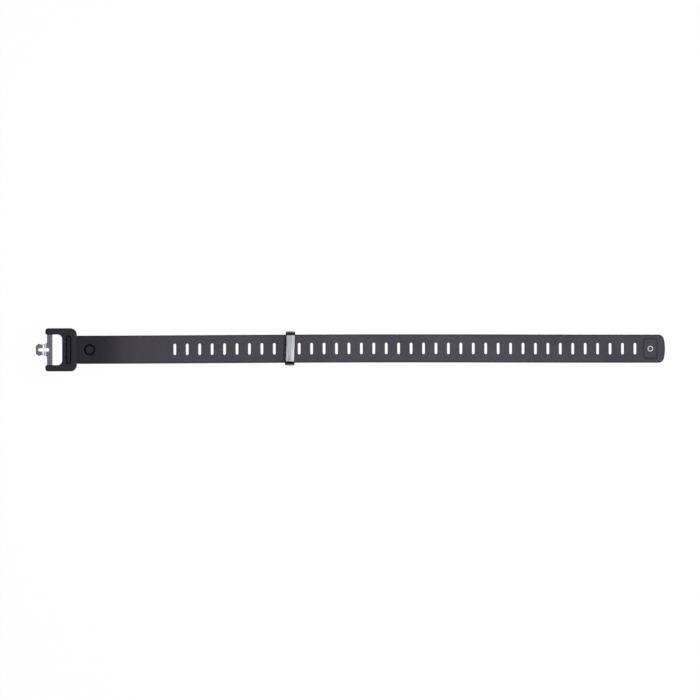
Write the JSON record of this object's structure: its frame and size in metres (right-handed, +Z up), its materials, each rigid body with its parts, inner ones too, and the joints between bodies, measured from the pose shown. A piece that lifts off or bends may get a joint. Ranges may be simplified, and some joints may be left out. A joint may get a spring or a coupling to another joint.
{
  "type": "stretch gear strap",
  "caption": "Slotted elastomer strap with a hinged hook buckle at one end, a raised pad at the other and a keeper loop that slides along it.",
  "frame": {"origin": "on the buckle's back plane (the side that lies on the load), under the hinge pin's axis, at the band's centre", "axes": "+X along the band from the buckle to the tail, +Y across the band, +Z up, away from the load"},
  "size_m": [0.5055, 0.0346, 0.0094],
  "materials": {
    "band_elastomer": "fine matte moulded grain",
    "frame_nylon": "satin moulded",
    "hook_steel": "tumbled matte",
    "pin_steel": "drawn wire",
    "keeper_elastomer": "glossy moulded"
  },
  "bodies": {
    "strap": {"strap_band": "band_elastomer"},
    "buckle": {"buckle_frame": "frame_nylon", "hook_plate": "hook_steel", "hinge_pin": "pin_steel"},
    "keeper": {"keeper_loop": "keeper_elastomer"}
  },
  "joints": [
    {"name": "buckle_tilt", "type": "hinge", "parent": "strap", "child": "buckle", "pos_m": [0, 0, 0.0026], "axis": [0, 1, 0], "range_deg": [-90, 6]},
    {"name": "keeper_slide", "type": "slide", "parent": "strap", "child": "keeper", "axis": [1, 0, 0], "range_m": [-0.1664, 0.2785]}
  ]
}
